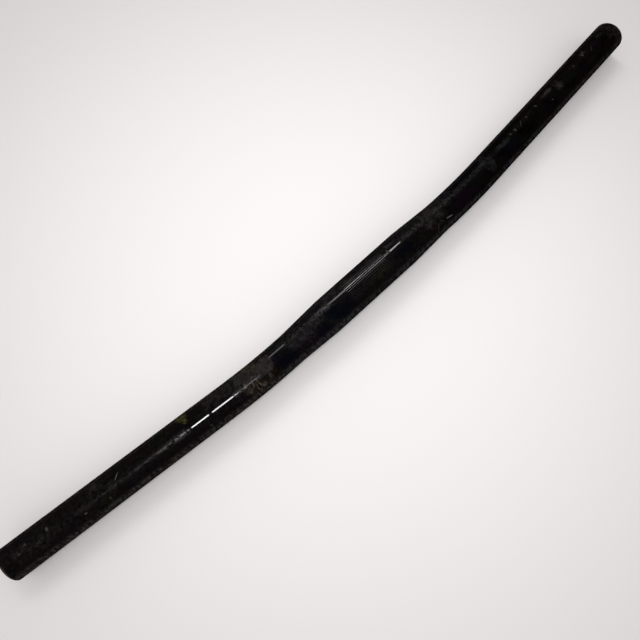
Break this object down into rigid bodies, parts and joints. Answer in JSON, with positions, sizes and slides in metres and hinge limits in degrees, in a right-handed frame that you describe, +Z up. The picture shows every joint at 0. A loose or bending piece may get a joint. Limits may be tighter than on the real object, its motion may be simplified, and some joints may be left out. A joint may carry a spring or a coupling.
{
  "type": "flat bicycle handlebar",
  "caption": "Flat bicycle handlebar: one swaged steel tube, thicker and serrated in the middle for the stem, with both grips swept back a little and open sawn ends.",
  "frame": {"origin": "centre of the clamped middle of the bar, on the axis of its 25.4 mm seat", "axes": "+X along the bar through the clamp seat; the grips sweep back towards +Y; +Z up as the bar lies on a flat surface, resting on the underside of its middle and of both tips"},
  "size_m": [0.56, 0.0406, 0.0254],
  "materials": {
    "black_paint": "gloss"
  },
  "bodies": {
    "root": {"handlebar": "black_paint"}
  },
  "joints": []
}
